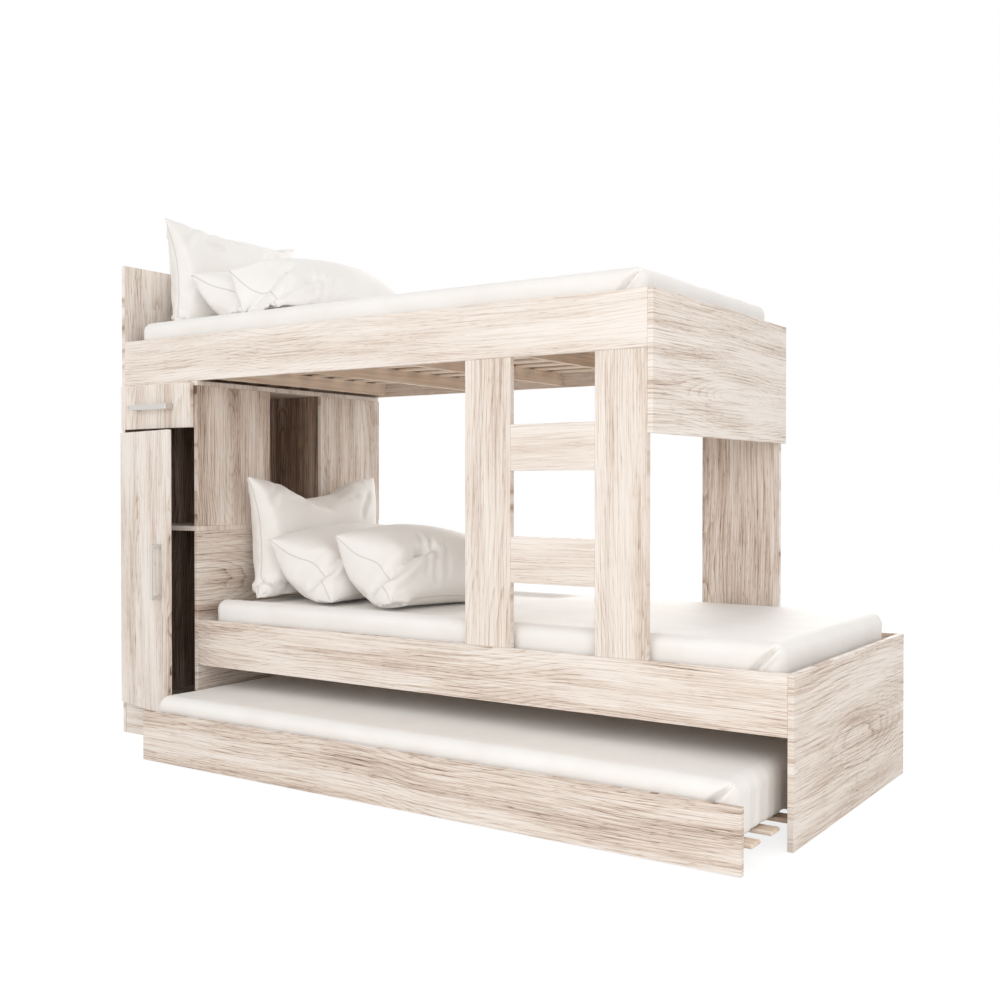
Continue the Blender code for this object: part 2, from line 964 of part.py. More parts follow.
def bed_mattress(name, head, deck_top):
    mesh = mattress_mesh(name, mattress_length, mattress_depth, mattress_thickness)
    place = (
        head + mattress_head_gap + mattress_length / 2,
        board + mattress_front_gap + mattress_depth / 2,
        deck_top + seat_gap + mattress_thickness / 2,
    )
    return add_soft(name, mesh, place, frame)


def pillow(name, head, base, size, middle, angles, cutters):
    """A pillow leaning back towards the headboard, cut by what it rests on."""
    lean, turned = angles
    upright = math.radians(90)
    place = (head + middle[0], middle[1], base + middle[2])
    turn = (upright - lean, 0, upright + turned)
    piece, twin = add_soft(name, pillow_mesh(name, size), place, frame, True, turn)
    for cutter in cutters:
        boolean(piece, cutter)
    return twin


def headboard_stop(name, head, base):
    """A block on the headboard's face, a seat gap proud, that flattens a pillow."""
    depth = back_pillow_size[2]
    height = back_pillow_size[1]
    low = (head - depth, 0, base)
    high = (head + half_gap, bed_depth, base + 2 * height)
    return add_cutter(name, box_mesh(name, [(low, high)]), (0, 0, 0), frame)


def bedding(level, head, deck_top, sink):
    mattress = bed_mattress(level + "_mattress", head, deck_top)[1]
    base = deck_top + mattress_thickness - sink
    stop = headboard_stop(level + "_headboard_stop", head, base)
    back = pillow(
        level + "_pillow_back",
        head,
        base,
        back_pillow_size,
        back_pillow_place,
        (back_pillow_lean, back_pillow_turn),
        (mattress, stop),
    )
    middle = pillow(
        level + "_pillow_middle",
        head,
        base,
        middle_pillow_size,
        middle_pillow_place,
        (middle_pillow_lean, middle_pillow_turn),
        (mattress, back),
    )
    pillow(
        level + "_pillow_front",
        head,
        base,
        front_pillow_size,
        front_pillow_place,
        (front_pillow_lean, front_pillow_turn),
        (mattress, middle, back),
    )


def trundle_mattress():
    name = "trundle_mattress"
    depth = trundle_mattress_rear - trundle_mattress_front
    mesh = mattress_mesh(name, trundle_mattress_length, depth, trundle_mattress_thickness)
    place = (
        (trundle_start + trundle_end) / 2,
        (trundle_mattress_front + trundle_mattress_rear) / 2,
        trundle_deck_top + seat_gap + trundle_mattress_thickness / 2,
    )
    add_soft(name, mesh, place, trundle_body)


def make_collection(name):
    collection = bpy.data.collections.new(name)
    bpy.context.scene.collection.children.link(collection)
    return collection


def make_origin():
    """The part's origin, on the floor below the middle of its footprint."""
    origin = bpy.data.objects.new("bed_origin", None)
    front = -trundle_rest_pull
    origin.location = (-overall_length / 2, -(front + bed_depth) / 2, 0)
    collections["parts"].objects.link(origin)
    return origin


clear_scene()
collections = {"parts": make_collection("triple_bunk_bed"), "cutters": make_collection("cutters")}
bed_origin = make_origin()
frame = add_body("frame_datum", (0, 0, 0))
drawer_body = add_body("drawer_datum", (0, 0, 0))
trundle_body = add_body("trundle_datum", (0, 0, 0), (0, -trundle_rest_pull, 0))
door = add_body("door_hinge_axis", (*hinge_axis, door_base_level), (0, 0, 0), -door_rest_angle)
wardrobe()
beds()
ladder()
bed_decks()
wardrobe_door()
drawer()
trundle()
bedding("upper", tall_inner, upper_deck_top, pillow_sink_upper)
bedding("lower", wardrobe_width, lower_deck_top, 0)
trundle_mattress()
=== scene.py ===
import math

import bmesh
import bpy
from mathutils import Euler, Matrix, Vector, noise
from mathutils.bvhtree import BVHTree
from mathutils.kdtree import KDTree


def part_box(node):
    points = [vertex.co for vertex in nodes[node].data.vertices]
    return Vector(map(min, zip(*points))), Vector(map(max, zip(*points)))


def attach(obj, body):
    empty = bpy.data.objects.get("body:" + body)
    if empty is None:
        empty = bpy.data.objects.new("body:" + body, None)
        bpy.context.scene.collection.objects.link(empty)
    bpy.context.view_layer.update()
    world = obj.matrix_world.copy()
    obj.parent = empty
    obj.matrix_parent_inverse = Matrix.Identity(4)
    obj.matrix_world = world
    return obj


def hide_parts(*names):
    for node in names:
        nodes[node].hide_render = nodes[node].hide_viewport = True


# The camera, worked out from the board edges
EYE = (2.0436, -2.8111, 0.8074)
EYE_TILT = -0.012
EYE_TURN = 0.5958
FOCAL_LENGTH = 42.2
SENSOR_WIDTH = 36.0

# The corner that the bed is measured from: the tall panel's outer face, the rails' front
# and the floor
BED_CORNER = Vector((-1.1375, -0.3251, 0.0))

# Each board's grain and width direction, how dark its print is set, partly its sheet's own tone
# and partly painted shade and light for how much light the board gets, how strong its figure
# is, and how far its middle lies from a heart of the print, where the rings close into ovals
BOARDS = {
    "tall_end_panel": ("ZY", -0.23, 1.8, 0.05),
    "lower_headboard": ("YZ", -0.05, 1.6, 0.08),
    "bedside_panel_front": ("ZY", 0.03, 1.6, 0.03),
    "bedside_panel_rear": ("ZY", -0.06, 1.5, 0.12),
    "wardrobe_top": ("XY", 0.02, 1.0, 0.12),
    "wardrobe_shelf": ("XY", 0.02, 1.0, 0.12),
    "wardrobe_bottom": ("XY", 0.10, 1.0, 0.12),
    "wardrobe_plinth": ("XZ", -0.15, 1.2, 0.12),
    "niche_partition_front": ("ZX", 0.16, 1.3, 0.05),
    "niche_partition_rear": ("ZX", 0.46, 1.4, 0.0),
    "upper_front_rail": ("XZ", -0.06, 1.0, 0.12),
    "upper_rear_rail": ("XZ", 0.08, 1.0, 0.12),
    "upper_footboard": ("YZ", -0.09, 1.4, 0.06),
    "lower_front_rail": ("XZ", -0.02, 1.4, 0.12),
    "lower_rear_rail": ("XZ", 0.08, 1.2, 0.12),
    "lower_footboard": ("YZ", -0.04, 1.4, 0.02),
    "ladder_post_left": ("ZX", 0.00, 1.1, 0.12),
    "ladder_post_right": ("ZX", 0.00, 1.1, 0.12),
    "ladder_rung_lower": ("XZ", 0.02, 0.9, 0.12),
    "ladder_rung_upper": ("XZ", 0.0, 0.8, 0.12),
    "rear_post": ("ZX", -0.07, 1.7, 0.12),
    "drawer_front": ("ZX", -0.04, 1.1, 0.12),
    "drawer_side_left": ("YZ", 0.08, 1.0, 0.12),
    "drawer_side_right": ("YZ", 0.08, 1.0, 0.12),
    "drawer_back": ("XZ", 0.08, 1.0, 0.12),
    "door_leaf": ("ZX", -0.14, 1.5, 0.03),
    "trundle_front": ("XZ", -0.04, 1.5, 0.12),
    "trundle_rear_board": ("XZ", 0.10, 1.2, 0.12),
}
# The print, in metres: how far its hearts lie apart, how far to each side of one its rings
# widen, how far along it the next board is cut, and how many rings it has to a metre
HEART_SPACING = 0.50
HEART_REACH = 0.167
PRINT_STRETCH = 1.37
RINGS_PER_METRE = 150.0
# The boards whose faces inside the wardrobe get painted shade, a darker print, with the way
# that the shaded face looks along X, and how much darker the painted shade makes it
SHADED_IN_WARDROBE = {
    "tall_end_panel": 1,
    "bedside_panel_front": -1,
    "bedside_panel_rear": -1,
    "lower_headboard": -1,
}
WARDROBE_SHADE_DEPTH = 0.62
# How far below a slatted base's top its grain turns: half a millimetre under its slats
GRAIN_TURNS = 0.0105

# Where each bed's pillows are measured from: along X from the bed's corner, and up
BEDS = {"lower": (0.360, 0.454), "upper": (0.015, 1.308)}

# A pillow: the grid of each face and its even share; how blunt its rear end and its long sides
# are (0.5 round, 0 square); how far its ends and its long sides are drawn in, in shares of its
# size; the width of its sewn lip; and how deep it lies in the mattress
PILLOW_COLUMNS = 46
PILLOW_ROWS = 30
PILLOW_EVEN_SHARE = 0.45
PILLOW_BLUNTNESS = 0.46
DRAWN_IN_ENDS = 0.09
DRAWN_IN_SIDES = 0.07
LIP = 0.007
PILLOW_DENT = 0.012
# The groove along its seam: depth and width
SEAM = (0.003, 0.004)
# The puckers beside the seam: their height, how many there are to a metre, and how far from
# the seam and how wide the band is that they lie in
PUCKER_HEIGHT = 0.0018
PUCKERS = 45
PUCKER_BAND = 0.02
# The ridge that a fold throws up on its left: its distance and width in shares of the fold's
# reach, and its height in shares of the fold's depth
RIDGE_PLACE = 1.7
RIDGE_WIDTH = 0.9
RIDGE_HEIGHT = 0.45
# How much of a point's height over a fold's path is left out of its distance from it
HEIGHT_LEFT_OUT = 0.65
# How high above the mattress folds and puckers reach their full depth
FOLDS_FROM = 0.035
# Soft pieces further apart than this don't lie in each other
NEAR = 0.06

# The mattresses: the body that each rides on, the width of its rolled edge, and how deep the
# pillows press it in, 2 mm deeper than they lie in it, so that they don't touch
MATTRESSES = {
    "upper_mattress": ("bed", 0.042, PILLOW_DENT + 0.002),
    "lower_mattress": ("bed", 0.042, PILLOW_DENT + 0.002),
    "trundle_mattress": ("trundle", 0.045, 0),
}
MATTRESS_CELLS = (0.011, 0.009, 0.006)
MATTRESS_EVEN_SHARE = 0.2
MATTRESS_CROWN = 0.006
LOWER_EDGE = 0.02
# How high the sheet's waves are on top, on the ends and on the sides
TOP_WAVE = 0.0016
END_WAVE = 0.0042
SIDE_WAVE = 0.002
# The tucked pleat at the foot's front corner: its path, from that corner inwards and down; its
# depth and width; and the height, distance and width of the fold turned up beside it
PLEAT = ((0.014, 0.006), (0.028, 0.022), (0.055, 0.050), (0.085, 0.090))
TUCK = (0.030, 0.0045)
TURNUP = (0.010, 0.009, 0.0055)

FLOOR_REACH = 12
# A hair below the feet, so that their undersides don't flicker
FLOOR_LEVEL = -0.0006


def linear(code):
    """A colour's linear values, from its sRGB hex code."""
    values = []
    for start in (0, 2, 4):
        value = int(code[start : start + 2], 16) / 255
        values.append(value / 12.92 if value <= 0.04045 else ((value + 0.055) / 1.055) ** 2.4)
    return (*values, 1)


def add_node(tree, kind, sockets=None, **settings):
    """Add a node: settings are its properties, sockets its inputs.

    An input takes a value, the output that feeds it, or the node whose first output feeds it."""
    node = tree.nodes.new(kind)
    for name, value in settings.items():
        setattr(node, name, value)
    for key, value in (sockets or {}).items():
        if isinstance(value, bpy.types.Node):
            value = next(output for output in value.outputs if output.enabled)
        if isinstance(value, bpy.types.NodeSocket):
            tree.links.new(value, node.inputs[key])
        else:
            node.inputs[key].default_value = value
    return node


def shade(ramp, stops):
    """Give a colour ramp its stops, each a place and a hex colour."""
    elements = ramp.color_ramp.elements
    while len(elements) < len(stops):
        elements.new(1)
    for element, (place, code) in zip(elements, stops):
        element.position = place
        element.color = linear(code)
    return ramp


def streaks(tree, place, scale, detail, roughness=0.5):
    """Noise drawn out along the grain; scale is how often it changes in a metre, on each axis."""
    drawn_out = add_node(tree, "ShaderNodeMapping", {"Vector": place, "Scale": scale})
    return add_node(
        tree,
        "ShaderNodeTexNoise",
        {"Vector": drawn_out, "Scale": 1.0, "Detail": detail, "Roughness": roughness},
    )


def new_finish(name):
    """An empty material, its node tree and the place on the piece that its pattern starts from."""
    material = bpy.data.materials.new(name)
    material.use_nodes = True
    tree = material.node_tree
    tree.nodes.clear()
    return material, tree, add_node(tree, "ShaderNodeTexCoord").outputs["Object"]


def close_finish(tree, sockets):
    """Lead a material's colour, roughness and relief to its surface."""
    shader = add_node(tree, "ShaderNodeBsdfPrincipled", {"IOR": 1.5, **sockets})
    add_node(tree, "ShaderNodeOutputMaterial", {"Surface": shader})


def laminate(board, directions, depth, contrast, from_heart, seed):
    """Whitewashed oak laminate: decor paper pressed on particle board with a shallow wood pore.

    The eye reads pale, dry wood: long fine fibres and short dark pores, greyer
    bands, faint year rings that close into pointed ovals, and a soft sheen."""
    material, tree, place = new_finish("whitewashed_oak_" + board)
    low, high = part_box(board)
    middle = [(low["XYZ".index(way)] + high["XYZ".index(way)]) / 2 for way in directions]
    axes = add_node(tree, "ShaderNodeSeparateXYZ", {"Vector": place})
    along, across = (axes.outputs[way] for way in directions)
    sheet = add_node(tree, "ShaderNodeCombineXYZ", {"X": along, "Y": across})
    # Every board is cut from its own stretch of the print
    start = (
        PRINT_STRETCH * seed - middle[0],
        3 * HEART_SPACING * seed + from_heart - middle[1],
        0,
    )
    cut = add_node(tree, "ShaderNodeMapping", {"Vector": sheet, "Location": start})
    # The grain wanders sideways, by up to 20 mm in a metre
    drift = streaks(tree, cut, (1.1, 3.0, 1), 1.0)
    sideways = add_node(
        tree, "ShaderNodeMath", {0: drift, 1: 0.04, 2: -0.02}, operation="MULTIPLY_ADD"
    )
    shift = add_node(tree, "ShaderNodeCombineXYZ", {"Y": sideways})
    bent = add_node(tree, "ShaderNodeVectorMath", {0: cut, 1: shift}, operation="ADD")
    parts = add_node(tree, "ShaderNodeSeparateXYZ", {"Vector": bent})

    # Year rings: the distance from the log's heart, which lies just below the sheet, made a
    # little uneven. Each ring starts with its darkest line
    angle = add_node(
        tree,
        "ShaderNodeMath",
        {0: parts.outputs["Y"], 1: math.pi / HEART_SPACING},
        operation="MULTIPLY",
    )
    wave = add_node(tree, "ShaderNodeMath", {0: angle}, operation="SINE")
    aside = add_node(tree, "ShaderNodeMath", {0: wave, 1: HEART_REACH}, operation="MULTIPLY")
    heart = streaks(tree, bent, (1.5, 1.2, 1), 0.5)
    deep = add_node(
        tree, "ShaderNodeMath", {0: heart, 1: 0.22, 2: -0.04}, operation="MULTIPLY_ADD"
    )
    leg = add_node(tree, "ShaderNodeCombineXYZ", {"X": aside, "Y": deep})
    radius = add_node(tree, "ShaderNodeVectorMath", {0: leg}, operation="LENGTH")
    rough = streaks(tree, bent, (1.3, 26.0, 1), 2.0)
    uneven = add_node(
        tree, "ShaderNodeMath", {0: rough, 1: 0.012, 2: radius}, operation="MULTIPLY_ADD"
    )
    count = add_node(
        tree, "ShaderNodeMath", {0: uneven, 1: RINGS_PER_METRE}, operation="MULTIPLY"
    )
    ring = add_node(tree, "ShaderNodeMath", {0: count}, operation="FRACT")
    early = add_node(tree, "ShaderNodeMath", {0: 1.0, 1: ring}, operation="SUBTRACT")
    line = add_node(tree, "ShaderNodeMath", {0: early, 1: 4.0}, operation="POWER")

    # Greyer bands, 30 to 100 mm wide
    bands = streaks(tree, bent, (1.2, 14.0, 1), 4.0, 0.6)
    band = add_node(
        tree, "ShaderNodeMapRange", {"Value": bands, "From Min": 0.40, "From Max": 0.68}
    )
    # Fibres are 0.3 mm wide on the real sheet; drawn 2 mm wide and 120 mm long, so that they show
    fibre = streaks(tree, bent, (4.0, 400.0, 1), 3.0, 0.65)
    dark_fibre = add_node(
        tree, "ShaderNodeMapRange", {"Value": fibre, "From Min": 0.54, "From Max": 0.30}
    )
    # Veins: thin dark lines that run on along the sheet, 5 to 15 mm apart
    vein = streaks(tree, bent, (1.2, 120.0, 1), 2.0)
    off_vein = add_node(tree, "ShaderNodeMath", {0: vein, 1: 0.5}, operation="SUBTRACT")
    from_vein = add_node(tree, "ShaderNodeMath", {0: off_vein}, operation="ABSOLUTE")
    dark_vein = add_node(
        tree, "ShaderNodeMapRange", {"Value": from_vein, "From Min": 0.030, "From Max": 0.0}
    )
    # Pores are dashes of 0.2 by 5 mm; drawn 1.5 mm wide and 25 mm long
    pore = streaks(tree, bent, (24.0, 520.0, 1), 1.0)
    dark_pore = add_node(
        tree, "ShaderNodeMapRange", {"Value": pore, "From Min": 0.40, "From Max": 0.26}
    )
    # Fibres break the ring lines up, which also fade out and come back along the sheet
    broken = add_node(
        tree, "ShaderNodeMath", {0: dark_fibre, 1: 0.6, 2: 0.4}, operation="MULTIPLY_ADD"
    )
    crossed = add_node(tree, "ShaderNodeMath", {0: line, 1: broken}, operation="MULTIPLY")
    patch = streaks(tree, bent, (2.2, 9.0, 1), 2.0)
    shown = add_node(
        tree,
        "ShaderNodeMapRange",
        {"Value": patch, "From Min": 0.38, "From Max": 0.62, "To Min": 0.2, "To Max": 1.0},
    )
    dark_ring = add_node(tree, "ShaderNodeMath", {0: crossed, 1: shown}, operation="MULTIPLY")
    # Pores gather in the bands
    gathered = add_node(
        tree, "ShaderNodeMath", {0: band, 1: 0.7, 2: 0.3}, operation="MULTIPLY_ADD"
    )
    band_pore = add_node(
        tree, "ShaderNodeMath", {0: dark_pore, 1: gathered}, operation="MULTIPLY"
    )
    # How dark each spot of the print is, from 0 to 1, starting from the board's set darkness,
    # which is partly painted shade and light
    dark = depth
    for pattern, weight in (
        (dark_ring, 0.44),
        (dark_vein, 0.16),
        (band, 0.25),
        (dark_fibre, 0.28),
        (band_pore, 0.46),
    ):
        dark = add_node(
            tree,
            "ShaderNodeMath",
            {0: pattern, 1: weight * contrast, 2: dark},
            operation="MULTIPLY_ADD",
        )
    # Painted shade: the faces that look into the wardrobe, below its top, are printed darker
    if board in SHADED_IN_WARDROBE:
        normal = add_node(tree, "ShaderNodeNewGeometry").outputs["Normal"]
        facing = add_node(tree, "ShaderNodeSeparateXYZ", {"Vector": normal}).outputs["X"]
        inward = add_node(
            tree, "ShaderNodeMath", {0: facing, 1: SHADED_IN_WARDROBE[board]}, operation="MULTIPLY"
        )
        facing_in = add_node(tree, "ShaderNodeMath", {0: inward, 1: 0.5}, operation="GREATER_THAN")
        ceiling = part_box("wardrobe_top")[0].z
        inside = add_node(
            tree, "ShaderNodeMath", {0: axes.outputs["Z"], 1: ceiling}, operation="LESS_THAN"
        )
        painted_wardrobe_shade = add_node(tree, "ShaderNodeMath", {0: facing_in, 1: inside}, operation="MULTIPLY")
        dark = add_node(
            tree,
            "ShaderNodeMath",
            {0: painted_wardrobe_shade, 1: WARDROBE_SHADE_DEPTH, 2: dark},
            operation="MULTIPLY_ADD",
        )
    tone = shade(
        add_node(tree, "ShaderNodeValToRGB", {"Fac": dark}),
        [(0.0, "F1E9E2"), (0.20, "E6DACF"), (0.45, "CBB8A9"), (0.75, "A28A78"), (1.0, "6A5546")],
    )
    sheen = add_node(
        tree, "ShaderNodeMapRange", {"Value": fibre, "To Min": 0.58, "To Max": 0.44}
    )
    relief = add_node(
        tree, "ShaderNodeBump", {"Height": pore, "Strength": 0.3, "Distance": 0.0004}
    )
    close_finish(tree, {"Base Color": tone, "Roughness": sheen, "IOR": 1.46, "Normal": relief})
    return material


def planed_pine(name, deck_level):
    """Bare planed pine: warm, with straight pale grain and no lacquer.

    The lengthwise slats lie above deck_level, the cross beams below it."""
    material, tree, place = new_finish(name)
    axes = add_node(tree, "ShaderNodeSeparateXYZ", {"Vector": place})
    x, y, z = (axes.outputs[axis] for axis in "XYZ")
    above = add_node(tree, "ShaderNodeMath", {0: z, 1: deck_level}, operation="GREATER_THAN")
    slat = add_node(tree, "ShaderNodeCombineXYZ", {"X": x, "Y": y})
    beam = add_node(tree, "ShaderNodeCombineXYZ", {"X": y, "Y": z, "Z": x})
    way = add_node(
        tree, "ShaderNodeMix", {"Factor": above, "A": beam, "B": slat}, data_type="VECTOR"
    )
    grain = streaks(tree, way, (3.0, 90.0, 3.0), 3.0, 0.6)
    tone = shade(
        add_node(tree, "ShaderNodeValToRGB", {"Fac": grain}),
        [(0.30, "D6BCA5"), (0.50, "E5D0BC"), (0.70, "EFE0D1")],
    )
    relief = add_node(
        tree, "ShaderNodeBump", {"Height": grain, "Strength": 0.3, "Distance": 0.0004}
    )
    close_finish(tree, {"Base Color": tone, "Roughness": 0.6, "Normal": relief})
    return material


def hardboard(name):
    """Thin pressed fibreboard, brown and slightly mottled, matt."""
    material, tree, place = new_finish(name)
    fibres = add_node(
        tree,
        "ShaderNodeTexNoise",
        {"Vector": place, "Scale": 260.0, "Detail": 4.0, "Roughness": 0.7},
    )
    tone = shade(
        add_node(tree, "ShaderNodeValToRGB", {"Fac": fibres}),
        [(0.32, "604C3C"), (0.55, "705A48"), (0.75, "7E6856")],
    )
    relief = add_node(
        tree, "ShaderNodeBump", {"Height": fibres, "Strength": 0.4, "Distance": 0.0003}
    )
    close_finish(tree, {"Base Color": tone, "Roughness": 0.7, "Normal": relief})
    return material


def satin_cotton(name, stitched):
    """Washed cotton satin: off-white, close woven, with a soft sheen at the folds' edges.

    A stitched case gets a thin line of painted shadow along its seam, where its two sheets are
    sewn together; on a mattress, the faces that look down get painted shade in dark brown."""
    material, tree, place = new_finish(name)
    # Threads are 0.2 mm; drawn 1.2 mm apart
    threads = add_node(
        tree, "ShaderNodeTexNoise", {"Vector": place, "Scale": 800.0, "Detail": 1.0}
    )
    soft = add_node(tree, "ShaderNodeTexNoise", {"Vector": place, "Scale": 9.0, "Detail": 3.0})
    cloth = shade(
        add_node(tree, "ShaderNodeValToRGB", {"Fac": soft}), [(0.3, "EEEAE5"), (0.7, "F2EFEB")]
    )
    if stitched:
        # The painted seam shadow runs along a seam of 1 mm thread; drawn 4 mm wide
        hem = add_node(tree, "ShaderNodeAttribute", attribute_name="hem").outputs["Fac"]
        painted_shade_mask = add_node(
            tree,
            "ShaderNodeMapRange",
            {"Value": hem, "From Min": 0.003, "From Max": 0.001, "To Max": 0.4},
        )
    else:
        # Painted shade: the faces that look down, seen between the slats, are coloured dark brown
        normal = add_node(tree, "ShaderNodeNewGeometry").outputs["Normal"]
        facing = add_node(tree, "ShaderNodeSeparateXYZ", {"Vector": normal}).outputs["Z"]
        painted_shade_mask = add_node(tree, "ShaderNodeMath", {0: facing, 1: -0.9}, operation="LESS_THAN")
    # The colour of the painted shade: grey along a case's seam, dark brown under a mattress
    painted_shade_colour = linear("A79F95" if stitched else "66513F")
    tone = add_node(
        tree, "ShaderNodeMix", {"Factor": painted_shade_mask, "A": cloth, "B": painted_shade_colour}, data_type="RGBA"
    )
    weave = add_node(
        tree, "ShaderNodeBump", {"Height": threads, "Strength": 0.12, "Distance": 0.0002}
    )
    crumple = add_node(
        tree,
        "ShaderNodeBump",
        {"Height": soft, "Strength": 0.35, "Distance": 0.004, "Normal": weave},
    )
    close_finish(
        tree,
        {
            "Base Color": tone,
            "Roughness": 0.62,
            "Sheen Weight": 0.15,
            "Sheen Roughness": 0.4,
            "Normal": crumple,
        },
    )
    return material


def brushed_aluminium(name):
    """Drawn aluminium, finely brushed and clear anodised."""
    material, tree, place = new_finish(name)
    # Brush marks are 0.05 mm wide; drawn 1 mm wide
    lines = streaks(tree, place, (40.0, 900.0, 900.0), 2.0)
    tone = shade(
        add_node(tree, "ShaderNodeValToRGB", {"Fac": lines}), [(0.3, "CFCCC8"), (0.7, "DEDBD7")]
    )
    relief = add_node(
        tree, "ShaderNodeBump", {"Height": lines, "Strength": 0.15, "Distance": 0.0001}
    )
    close_finish(
        tree, {"Base Color": tone, "Metallic": 1.0, "Roughness": 0.32, "Normal": relief}
    )
    return material


def zinc_steel(name):
    """Pressed steel sheet with bright zinc plating, slightly clouded."""
    material, tree, place = new_finish(name)
    cloud = add_node(
        tree, "ShaderNodeTexNoise", {"Vector": place, "Scale": 120.0, "Detail": 3.0}
    )
    tone = shade(
        add_node(tree, "ShaderNodeValToRGB", {"Fac": cloud}), [(0.3, "9EA0A4"), (0.7, "B4B6B9")]
    )
    haze = add_node(tree, "ShaderNodeMapRange", {"Value": cloud, "To Min": 0.28, "To Max": 0.46})
    close_finish(tree, {"Base Color": tone, "Metallic": 1.0, "Roughness": haze})
    return material


def moulded_nylon(name):
    """Black injection-moulded nylon with a fine spark-eroded grain."""
    material, tree, place = new_finish(name)
    grain = add_node(
        tree, "ShaderNodeTexNoise", {"Vector": place, "Scale": 1500.0, "Detail": 2.0}
    )
    tone = shade(
        add_node(tree, "ShaderNodeValToRGB", {"Fac": grain}), [(0.3, "29292B"), (0.7, "333335")]
    )
    relief = add_node(
        tree, "ShaderNodeBump", {"Height": grain, "Strength": 0.3, "Distance": 0.0001}
    )
    close_finish(tree, {"Base Color": tone, "Roughness": 0.45, "IOR": 1.53, "Normal": relief})
    return material


def wear(node, material):
    node.data.materials.clear()
    node.data.materials.append(material)


def spread(count, even_share):
    """Places from -1 to 1, closer together towards both ends where the even share is small."""
    places = []
    for step in range(count + 1):
        even = 2 * step / count - 1
        places.append(even_share * even + (1 - even_share) * math.sin(even * math.pi / 2))
    return places


def near_path(point, path, outward):
    """How far a point lies from a path, on which side, 1 left or -1 right, and how far along.

    The path is looked at from outward, and its length is 1."""
    best = (math.inf, 1, 0)
    total = sum((end - start).length for start, end in zip(path, path[1:]))
    gone = 0
    for start, end in zip(path, path[1:]):
        run = end - start
        off = point - start
        share = min(1, max(0, off.dot(run) / run.length_squared))
        miss = off - share * run
        away = (miss - HEIGHT_LEFT_OUT * miss.dot(outward) * outward).length
        if away < best[0]:
            flank = 1 if run.cross(off).dot(outward) > 0 else -1
            best = (away, flank, (gone + share * run.length) / total)
        gone += run.length
    return best


def fold_depth(point, path, outward, depth, reach):
    """How far a fold presses a point of the case in, less its ridge. It fades to both ends."""
    away, flank, along = near_path(point, path, outward)
    fade = min(1, 6 * along * (1 - along) + 0.4)
    valley = math.exp(-((away / reach) ** 2))
    ridge = 0
    if flank > 0:
        ridge = math.exp(-(((away - RIDGE_PLACE * reach) / (RIDGE_WIDTH * reach)) ** 2))
    return depth * fade * (valley - RIDGE_HEIGHT * ridge)


def pillow_mesh(name, size, plump, pulls):
    """A stuffed case: two sheets sewn round the rim, pulled out of square as it lies."""
    width, height, fullness = size
    form = bmesh.new()
    points = {}
    sewn = form.verts.layers.float_vector.new("sewn")
    for side in (1, -1):
        for row, t in enumerate(spread(PILLOW_ROWS, PILLOW_EVEN_SHARE)):
            for column, s in enumerate(spread(PILLOW_COLUMNS, PILLOW_EVEN_SHARE)):
                rim = column in (0, PILLOW_COLUMNS) or row in (0, PILLOW_ROWS)
                if rim and side == -1:
                    points[side, column, row] = points[1, column, row]
                    continue
                end_power = PILLOW_BLUNTNESS if s > 0 else plump[0 if side == 1 else 1]
                # The long sides taper off towards the front end
                side_power = PILLOW_BLUNTNESS + 0.45 * max(0, -s) ** 4
                rise = max(0, 1 - s * s) ** end_power * max(0, 1 - t * t) ** side_power
                spot = Vector(
                    (
                        width / 2 * s * (1 - DRAWN_IN_ENDS * (1 - t * t)),
                        height / 2 * t * (1 - DRAWN_IN_SIDES * (1 - s * s)),
                        side * fullness / 2 * rise,
                    )
                )
                flat = ((s + 1) / 2 * width, (t + 1) / 2 * height)
                if rim:
                    spot.x += math.copysign(LIP, s) if column in (0, PILLOW_COLUMNS) else 0
                    spot.y += math.copysign(LIP, t) if row in (0, PILLOW_ROWS) else 0
                for face, middle, reach, move in pulls:
                    if face in (0, side) and not (face and rim):
                        away = math.dist(flat, (middle[0] * width, middle[1] * height))
                        spot += Vector(move) * math.exp(-((away / reach) ** 2))
                vert = form.verts.new(spot)
                vert[sewn] = (flat[0], flat[1], 0 if rim else side)
                points[side, column, row] = vert
    for side in (1, -1):
        for row in range(PILLOW_ROWS):
            for column in range(PILLOW_COLUMNS):
                ring = [
                    points[side, column, row],
                    points[side, column + 1, row],
                    points[side, column + 1, row + 1],
                    points[side, column, row + 1],
                ]
                form.faces.new(ring if side == 1 else ring[::-1])
    form.verts.index_update()
    corners = [
        points[1, column, row].index
        for column in (0, PILLOW_COLUMNS)
        for row in (0, PILLOW_ROWS)
    ]
    mesh = bpy.data.meshes.new(name)
    form.to_mesh(mesh)
    form.free()
    return mesh, corners


